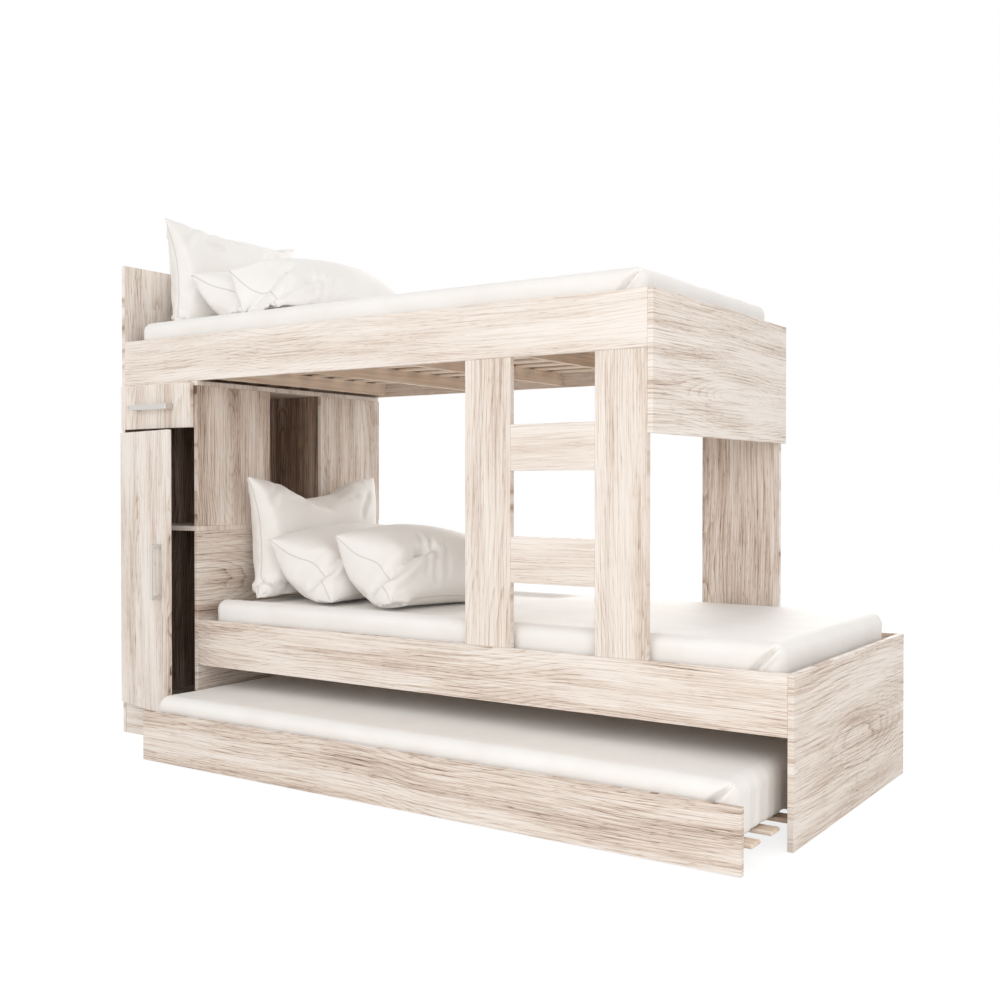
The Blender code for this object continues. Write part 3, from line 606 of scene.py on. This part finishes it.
def sew(piece, size, pose, folds, crispness, deck_level):
    """Refine the puffed case, then press in its seam, the puckers along it and its folds.

    They flatten out where the case lies on the mattress."""
    width, height, fullness = size
    piece.modifiers.new("fine", "SUBSURF").levels = 1
    shaped = piece.evaluated_get(bpy.context.evaluated_depsgraph_get())
    fine = bpy.data.meshes.new_from_object(shaped)
    piece.modifiers.clear()
    piece.data = fine
    square = pose.inverted()
    paths = []
    for places, depth, reach in folds:
        path = [Vector((x * width, y * height, z * fullness)) for x, y, z in places]
        paths.append((path, crispness * depth, reach))
    fine.attributes.new("hem", "FLOAT", "POINT")
    hems = fine.attributes["hem"].data
    stitches = fine.attributes["sewn"].data
    # On the rim, the side that a point belongs to is 0
    rim = [vert.co for vert, stitch in zip(fine.vertices, stitches) if abs(stitch.vector.z) < 0.01]
    seam = KDTree(len(rim))
    for number, spot in enumerate(rim):
        seam.insert(spot, number)
    seam.balance()
    spots = [(vert.co.copy(), vert.normal.copy()) for vert in fine.vertices]
    for vert, (spot, normal), stitch, hem_at in zip(fine.vertices, spots, stitches, hems):
        u, v, side = stitch.vector
        hem = seam.find(spot)[2]
        hem_at.value = hem
        out = -SEAM[0] * math.exp(-((hem / SEAM[1]) ** 2))
        # Each side of each case has its own puckers
        pucker = noise.noise(Vector((u * PUCKERS, v * PUCKERS, side * 5 + fullness * 90)))
        nearness = math.exp(-(((hem - PUCKER_BAND) / PUCKER_BAND) ** 2))
        out += PUCKER_HEIGHT * pucker * nearness
        place = square @ spot
        outward = square.to_3x3() @ normal
        for path, depth, reach in paths:
            # Far from all its knots, a fold has no depth
            if min((place - knot).length for knot in path) < 3 * reach + 0.05:
                out -= fold_depth(place, path, outward, depth, reach)
        vert.co += normal * out * soft_step(spot.z, deck_level, deck_level + FOLDS_FROM)


def stand_in(name, corners):
    """A flat sheet in the place of a hard surface, for the cloth to lie against."""
    form = bmesh.new()
    form.faces.new([form.verts.new(corner) for corner in corners])
    bmesh.ops.subdivide_edges(form, edges=form.edges, cuts=12, use_grid_fill=True)
    mesh = bpy.data.meshes.new(name)
    form.to_mesh(mesh)
    form.free()
    sheet = bpy.data.objects.new(name, mesh)
    bpy.context.scene.collection.objects.link(sheet)
    return sheet


def puff(piece, corners, obstacles, frames, pressure, spare_cloth, most):
    """Blow the case up between its neighbours, its corners held.

    No point moves further than most."""
    start = [vert.co.copy() for vert in piece.data.vertices]
    held = piece.vertex_groups.new(name="corners")
    held.add(corners, 1.0, "REPLACE")
    for other in obstacles:
        other.modifiers.new("firm", "COLLISION")
        other.collision.thickness_outer = 0.002
        other.collision.thickness_inner = 0.01
        other.collision.cloth_friction = 8
    cloth = piece.modifiers.new("cloth", "CLOTH")
    settings = cloth.settings
    settings.quality = 4
    settings.mass = 0.25
    settings.tension_stiffness = 12
    settings.compression_stiffness = 12
    settings.shear_stiffness = 4
    settings.bending_stiffness = 0.4
    settings.tension_damping = 8
    settings.compression_damping = 8
    settings.air_damping = 3
    settings.use_pressure = True
    settings.uniform_pressure_force = pressure
    settings.shrink_min = -spare_cloth
    settings.vertex_group_mass = "corners"
    settings.effector_weights.gravity = 0
    cloth.collision_settings.distance_min = 0.003
    cloth.collision_settings.collision_quality = 2
    cloth.point_cache.frame_start = 1
    cloth.point_cache.frame_end = frames
    scene = bpy.context.scene
    for frame_number in range(1, frames + 1):
        scene.frame_set(frame_number)
    puffed = piece.evaluated_get(bpy.context.evaluated_depsgraph_get())
    ends = [vert.co.copy() for vert in puffed.data.vertices]
    piece.modifiers.remove(cloth)
    for other in obstacles:
        other.modifiers.remove(other.modifiers["firm"])
    scene.frame_set(1)
    for vert, before, after in zip(piece.data.vertices, start, ends):
        move = after - before
        if move.length > most:
            move *= most / move.length
        vert.co = before + move


def clear_of(piece, neighbours, gap, lowest, margin):
    """Move every point that lies in a neighbour, or closer than the gap, clear of it.

    lowest lists the levels, each an axis and a place on it, that it also keeps a margin from."""
    depsgraph = bpy.context.evaluated_depsgraph_get()
    trees = [BVHTree.FromObject(other, depsgraph) for other in neighbours]
    for vert in piece.data.vertices:
        for tree in trees:
            spot, normal, _, away = tree.find_nearest(vert.co)
            if away < NEAR and (vert.co - spot).dot(normal) < gap:
                vert.co = spot + normal * gap
        for axis, low in lowest:
            vert.co[axis] = max(vert.co[axis], low + margin)


def smooth(piece):
    for face in piece.data.polygons:
        face.use_smooth = True


def box_grid(name, low, high, cells, even_share):
    """The surface of a box as one closed grid, with the sizes of its cells along X, Y and Z."""
    form = bmesh.new()
    counts = [max(2, round((high[axis] - low[axis]) / cells[axis])) for axis in range(3)]
    shares = [spread(count, even_share) for count in counts]
    verts = {}

    def corner(key):
        if key not in verts:
            spot = []
            for axis in range(3):
                side = high[axis] - low[axis]
                spot.append(low[axis] + side * (1 + shares[axis][key[axis]]) / 2)
            verts[key] = form.verts.new(spot)
        return verts[key]

    for axis in range(3):
        one = (axis + 1) % 3
        two = (axis + 2) % 3
        for end in (0, counts[axis]):
            for i in range(counts[one]):
                for j in range(counts[two]):
                    ring = []
                    for di, dj in ((0, 0), (1, 0), (1, 1), (0, 1)):
                        key = [0, 0, 0]
                        key[axis] = end
                        key[one] = i + di
                        key[two] = j + dj
                        ring.append(corner(tuple(key)))
                    form.faces.new(ring if end else ring[::-1])
    mesh = bpy.data.meshes.new(name)
    form.to_mesh(mesh)
    form.free()
    return mesh


def soft_step(value, start, end):
    """0 up to the start, 1 from the end on, and a soft rise between them."""
    share = min(1, max(0, (value - start) / (end - start)))
    return share * share * (3 - 2 * share)


def mattress(node_name, body, roll, dent, cotton):
    """A foam mattress in a fitted sheet: rolled edges, a low crown, a tucked pleat at the foot."""
    low, high = (Vector(corner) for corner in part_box(node_name))
    top = high.z - MATTRESS_CROWN
    crownless = Vector((high.x, high.y, top))
    mesh = box_grid(node_name + "_in_sheet", low, crownless, MATTRESS_CELLS, MATTRESS_EVEN_SHARE)
    turn = 0.75 * roll
    inner_low = low + Vector((turn, turn, LOWER_EDGE))
    inner_high = crownless - Vector((turn, turn, turn))
    half = (high - low) / 2
    centre = (high + low) / 2
    pleat = [Vector((x, 0, z)) for x, z in PLEAT]
    for vert in mesh.vertices:
        spot = vert.co
        # Roll the edges: what lies outside the inner box goes from square to round
        core = Vector(min(max(spot[axis], inner_low[axis]), inner_high[axis]) for axis in range(3))
        off = spot - core
        upper = off.z > 0
        reach = Vector((turn, turn, turn if upper else LOWER_EDGE))
        scaled = Vector(off[axis] / reach[axis] for axis in range(3))
        longest = max(abs(value) for value in scaled)
        if scaled.length > 0:
            scaled *= longest / scaled.length
        spot = core + Vector(scaled[axis] * reach[axis] for axis in range(3))
        across_x = (spot.x - centre.x) / half.x
        across_y = (spot.y - centre.y) / half.y
        lift = max(0, (spot.z - core.z) / turn) if upper else 0
        spot.z += MATTRESS_CROWN * lift * (1 - across_x**4) * (1 - across_y**4)
        # The sheet is drawn tight lengthwise: long shallow waves on top, short ones on the ends
        wave = noise.noise(Vector((spot.x * 1.7, spot.y * 9.0, 3.1)))
        spot.z += TOP_WAVE * lift * wave
        # Pillows press the head end in
        pressed = 1 - soft_step(spot.x, low.x + 0.78, low.x + 0.95)
        pressed *= soft_step(spot.y, low.y + 0.03, low.y + 0.10)
        pressed *= soft_step(high.y - spot.y, 0.03, 0.08)
        spot.z -= dent * lift * pressed
        # The ends and sides hang in waves, deeper towards the bottom
        drape = 1 - max(0, min(1, (spot.z - low.z) / (top - low.z)))
        end_wave = noise.noise(Vector((0.5, spot.y * 55.0, spot.z * 4.0)))
        side_wave = noise.noise(Vector((spot.x * 9.0, 0.5, spot.z * 3.0)))
        if abs(across_x) > 0.97:
            spot.x -= math.copysign(END_WAVE * (0.35 + drape) * (1 + end_wave), across_x)
        if abs(across_y) > 0.94:
            spot.y -= math.copysign(SIDE_WAVE * (0.3 + drape) * (1 + side_wave), across_y)
            if across_y < 0:
                from_corner = Vector((high.x - spot.x, 0, top - spot.z))
                away, flank, along = near_path(from_corner, pleat, Vector((0, -1, 0)))
                depth = TUCK[0] * math.exp(-((away / TUCK[1]) ** 2))
                if flank > 0:
                    depth -= TURNUP[0] * math.exp(-(((away - TURNUP[1]) / TURNUP[2]) ** 2))
                spot.y += depth * min(1, 3 * along + 0.15)
        vert.co = spot
    piece = bpy.data.objects.new(node_name + "_in_sheet", mesh)
    bpy.context.scene.collection.objects.link(piece)
    wear(piece, cotton)
    smooth(piece)
    fine = piece.modifiers.new("fine", "SUBSURF")
    fine.levels = 1
    fine.render_levels = 1
    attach(piece, body)
    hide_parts(node_name)


# The three kinds of pillow. Size is width and height; plump is how blunt the front end
# of the face and of the back is (0.5 round, 0 square). Pulls (face 1, back -1 or both 0, place,
# reach, move) are placed in shares of the case's width and height, from its bottom front corner;
# folds (path, depth, reach) in shares of its width, height and fullness, from its middle.
CASES = {
    "back": {
        "size": (0.620, 0.395),
        "plump": (0.42, 0.42),
        "pulls": [
            (0, (0.0, 0.04), 0.08, (-0.020, 0, 0.035)),
            (1, (0.22, 0.03), 0.10, (0, 0, 0.040)),
        ],
        "folds": [
            (
                [
                    (-0.15, -0.37, 0.45),
                    (-0.36, -0.37, 0.43),
                    (-0.45, -0.36, 0.32),
                    (-0.47, -0.35, 0.15),
                    (-0.51, -0.36, 0.05),
                ],
                0.024,
                0.011,
            ),
            ([(-0.32, 0.43, 0.12), (-0.41, 0.29, 0.33)], 0.008, 0.014),
            ([(-0.30, 0.31, 0.45), (-0.18, 0.27, 0.47)], 0.007, 0.011),
            ([(0.13, 0.30, 0.42), (0.24, 0.33, 0.42)], 0.005, 0.010),
            ([(0.35, 0.34, 0.36), (0.28, 0.25, 0.47), (0.23, 0.15, 0.54)], 0.007, 0.012),
        ],
    },
    "middle": {
        "size": (0.610, 0.315),
        "plump": (0.42, 0.18),
        "pulls": [
            (0, (0.0, 0.42), 0.07, (0.024, 0, 0.036)),
            (-1, (0.04, 0.42), 0.10, (-0.040, 0, -0.02)),
        ],
        "folds": [
            (
                [
                    (-0.35, -0.16, 0.38),
                    (-0.39, -0.19, 0.29),
                    (-0.43, -0.23, 0.20),
                    (-0.44, -0.20, 0.08),
                    (-0.465, -0.19, -0.04),
                ],
                0.028,
                0.013,
            ),
            ([(-0.465, 0.06, 0.02), (-0.446, 0.035, 0.22), (-0.421, -0.025, 0.35)], 0.006, 0.010),
            ([(-0.49, 0.37, 0.01), (-0.481, 0.27, -0.04)], 0.004, 0.006),
        ],
    },
    "front": {
        "size": (0.600, 0.318),
        "plump": (0.42, 0.16),
        "pulls": [
            (0, (0.0, 0.40), 0.07, (0.024, 0, 0.036)),
            (-1, (0.04, 0.40), 0.10, (-0.045, 0, -0.02)),
        ],
        "folds": [
            (
                [
                    (-0.22, -0.19, 0.50),
                    (-0.27, -0.18, 0.42),
                    (-0.31, -0.19, 0.33),
                    (-0.36, -0.22, 0.28),
                    (-0.44, -0.27, 0.12),
                    (-0.48, -0.23, -0.05),
                ],
                0.040,
                0.016,
            ),
            (
                [
                    (-0.22, 0.04, 0.48),
                    (-0.25, -0.20, 0.50),
                    (-0.27, -0.31, 0.41),
                    (-0.29, -0.41, 0.30),
                ],
                0.006,
                0.008,
            ),
            (
                [
                    (-0.19, -0.05, 0.53),
                    (-0.20, -0.23, 0.48),
                    (-0.237, -0.40, 0.35),
                    (-0.237, -0.456, 0.21),
                ],
                0.007,
                0.008,
            ),
            ([(-0.125, -0.14, 0.53), (-0.15, -0.30, 0.46), (-0.174, -0.44, 0.30)], 0.005, 0.008),
        ],
    },
}

# How each pillow lies: its middle from its bed's head, the rails' front and the bed's pillow
# level, its fullness, its lean towards the headboard and its turn in degrees, how much of its
# kind's folds it shows, and the pulls that only it has
LAID = {
    "lower": {
        "back": (
            (0.102, 0.430, 0.186),
            0.150,
            4,
            1,
            1.0,
            [(0, (0.37, 1.0), 0.08, (0, -0.034, 0)), (0, (0.57, 1.0), 0.10, (0, -0.030, 0))],
        ),
        "middle": ((0.312, 0.425, 0.090), 0.220, 55.8, 0, 1.0, []),
        "front": (
            (0.612, 0.420, 0.108),
            0.245,
            55.4,
            -10,
            1.0,
            [(0, (1.0, 0.8), 0.32, (0, -0.15, 0)), (0, (1.0, 0.0), 0.20, (-0.15, 0.03, 0))],
        ),
    },
    "upper": {
        "back": (
            (0.094, 0.400, 0.182),
            0.140,
            4,
            1,
            1.0,
            [(0, (0.6, 1.0), 0.15, (0, 0.006, 0))],
        ),
        "middle": ((0.342, 0.395, 0.084), 0.165, 55.8, 1, 0.8, []),
        "front": (
            (0.560, 0.370, 0.090),
            0.225,
            56,
            -9,
            0.5,
            [(0, (1.0, 0.1), 0.20, (0.03, 0, 0))],
        ),
    },
}


def pillows(bed, head, base, cotton):
    """Three pillows at the head of a bed, each settled against those behind it."""
    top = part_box(bed + "_mattress")[1][2] - PILLOW_DENT
    wall_x = BED_CORNER.x + head
    # The mattress and the wall, on every side further than the pillows reach
    left, right, near, far = wall_x - 0.05, wall_x + 1.2, -0.35, 0.55
    deck = stand_in(
        bed + "_deck",
        [(left, near, top), (right, near, top), (right, far, top), (left, far, top)],
    )
    near, far, bottom, crest = -0.4, 0.6, top - 0.1, top + 0.6
    wall = stand_in(
        bed + "_wall",
        [
            (wall_x, near, bottom),
            (wall_x, far, bottom),
            (wall_x, far, crest),
            (wall_x, near, crest),
        ],
    )
    lowest = [(2, top), (0, wall_x)]
    laid = []
    for kind, ((x, y, z), fullness, lean, turn, crispness, own_pulls) in LAID[bed].items():
        name = bed + "_pillow_" + kind
        facts = CASES[kind]
        size = (*facts["size"], fullness)
        pulls = facts["pulls"] + own_pulls
        mesh, corners = pillow_mesh(name + "_case", size, facts["plump"], pulls)
        turned = Euler((math.radians(90 - lean), 0, math.radians(90 + turn)))
        middle = BED_CORNER + Vector((head + x, y, base + z))
        pose = Matrix.LocRotScale(middle, turned, None)
        mesh.transform(pose)
        piece = bpy.data.objects.new(name + "_case", mesh)
        bpy.context.scene.collection.objects.link(piece)
        clear_of(piece, laid, 0.006, lowest, 0.004)
        firm = [deck, wall] + laid
        puff(piece, corners, firm, frames=18, pressure=3.0, spare_cloth=0.025, most=0.018)
        clear_of(piece, laid, 0.002, lowest, 0.001)
        sew(piece, size, pose, facts["folds"], crispness, top)
        clear_of(piece, laid, 0.002, lowest, 0.001)
        wear(piece, cotton)
        smooth(piece)
        laid.append(piece)
    for sheet in (deck, wall):
        bpy.data.objects.remove(sheet, do_unlink=True)
    for piece, kind in zip(laid, LAID[bed]):
        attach(piece, "bed")
        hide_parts(bed + "_pillow_" + kind)


def place_camera():
    data = bpy.data.cameras.new("eye")
    data.lens = FOCAL_LENGTH
    data.sensor_width = SENSOR_WIDTH
    camera = bpy.data.objects.new("eye", data)
    camera.location = EYE
    camera.rotation_euler = (math.pi / 2 + EYE_TILT, 0, EYE_TURN)
    bpy.context.scene.collection.objects.link(camera)
    bpy.context.scene.camera = camera


def seen_by_eye(tree):
    """1 for rays that show a surface, straight or mirrored, and 0 for the rays that light it."""
    path = add_node(tree, "ShaderNodeLightPath")
    either = add_node(
        tree,
        "ShaderNodeMath",
        {0: path.outputs["Is Camera Ray"], 1: path.outputs["Is Glossy Ray"]},
        operation="MAXIMUM",
    )
    return add_node(
        tree,
        "ShaderNodeMath",
        {0: either, 1: path.outputs["Is Transmission Ray"]},
        operation="MAXIMUM",
    )


def light_studio():
    """A white room with a large softbox high in front, one at the foot and one behind the bed."""
    scene = bpy.context.scene
    scene.view_settings.view_transform = "Standard"
    scene.world = bpy.data.worlds.new("white_room")
    scene.world.use_nodes = True
    tree = scene.world.node_tree
    tree.nodes.clear()
    white = linear("FFFFFF")
    fill = add_node(tree, "ShaderNodeBackground", {"Color": white, "Strength": 0.80})
    backdrop = add_node(tree, "ShaderNodeBackground", {"Color": white, "Strength": 1.0})
    room = add_node(
        tree, "ShaderNodeMixShader", {0: seen_by_eye(tree), 1: fill, 2: backdrop}
    )
    add_node(tree, "ShaderNodeOutputWorld", {"Surface": room})
    for name, place, aim, size, power in (
        ("front_softbox", (-1.0, -4.2, 1.8), (0, 0, 0.7), 2.8, 30),
        ("foot_softbox", (3.4, -3.0, 1.6), (0, 0, 0.7), 2.6, 51),
        ("rear_softbox", (-0.9, 3.6, 2.2), (-0.3, 0, 0.5), 2.6, 80),
    ):
        data = bpy.data.lights.new(name, "AREA")
        data.size = size
        data.energy = power
        lamp = bpy.data.objects.new(name, data)
        lamp.location = place
        lamp.rotation_euler = (Vector(aim) - Vector(place)).to_track_quat("-Z", "Y").to_euler()
        scene.collection.objects.link(lamp)


def lay_floor():
    """A white floor that blends into the backdrop and keeps a faint shadow."""
    form = bmesh.new()
    bmesh.ops.create_grid(form, x_segments=1, y_segments=1, size=FLOOR_REACH)
    mesh = bpy.data.meshes.new("floor")
    form.to_mesh(mesh)
    form.free()
    floor = bpy.data.objects.new("floor", mesh)
    floor.location.z = FLOOR_LEVEL
    bpy.context.scene.collection.objects.link(floor)
    material = bpy.data.materials.new("white_floor")
    material.use_nodes = True
    tree = material.node_tree
    tree.nodes.clear()
    glow_share = add_node(
        tree, "ShaderNodeMath", {0: seen_by_eye(tree), 1: 0.62}, operation="MULTIPLY"
    )
    paint = add_node(tree, "ShaderNodeBsdfDiffuse", {"Color": linear("E2E0DD")})
    glow = add_node(tree, "ShaderNodeEmission", {"Color": linear("FFFFFF"), "Strength": 1.32})
    surface = add_node(tree, "ShaderNodeMixShader", {0: glow_share, 1: paint, 2: glow})
    add_node(tree, "ShaderNodeOutputMaterial", {"Surface": surface})
    wear(floor, material)


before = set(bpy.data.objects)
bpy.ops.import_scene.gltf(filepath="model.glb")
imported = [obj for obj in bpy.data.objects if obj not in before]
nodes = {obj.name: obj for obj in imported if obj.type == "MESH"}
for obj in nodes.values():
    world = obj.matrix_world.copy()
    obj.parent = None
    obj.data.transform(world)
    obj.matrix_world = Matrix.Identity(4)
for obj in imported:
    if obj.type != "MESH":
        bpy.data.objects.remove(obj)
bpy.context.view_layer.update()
place_camera()
light_studio()
lay_floor()

cotton = satin_cotton("cotton_satin", False)
stitched_cotton = satin_cotton("stitched_cotton_satin", True)
aluminium = brushed_aluminium("silver_aluminium")
zinc = zinc_steel("zinc_plated_steel")
nylon = moulded_nylon("black_nylon")
fibreboard = hardboard("brown_hardboard")
for seed, (board, print_facts) in enumerate(BOARDS.items(), start=1):
    wear(nodes[board], laminate(board, *print_facts, seed))
for node_name, node in nodes.items():
    if node_name in BOARDS:
        continue
    if node_name.endswith("slat_base"):
        base_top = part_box(node_name)[1].z
        wear(node, planed_pine("planed_pine_" + node_name, base_top - GRAIN_TURNS))
    elif node_name in ("wardrobe_back", "drawer_bottom"):
        wear(node, fibreboard)
    elif node_name.startswith("castor_wheel"):
        wear(node, nylon)
    elif node_name.endswith("handle"):
        wear(node, aluminium)
    elif "mattress" in node_name or "pillow" in node_name:
        wear(node, cotton)
    else:
        wear(node, zinc)

for node_name, mattress_facts in MATTRESSES.items():
    mattress(node_name, *mattress_facts, cotton)
for bed in LAID:
    pillows(bed, *BEDS[bed], stitched_cotton)
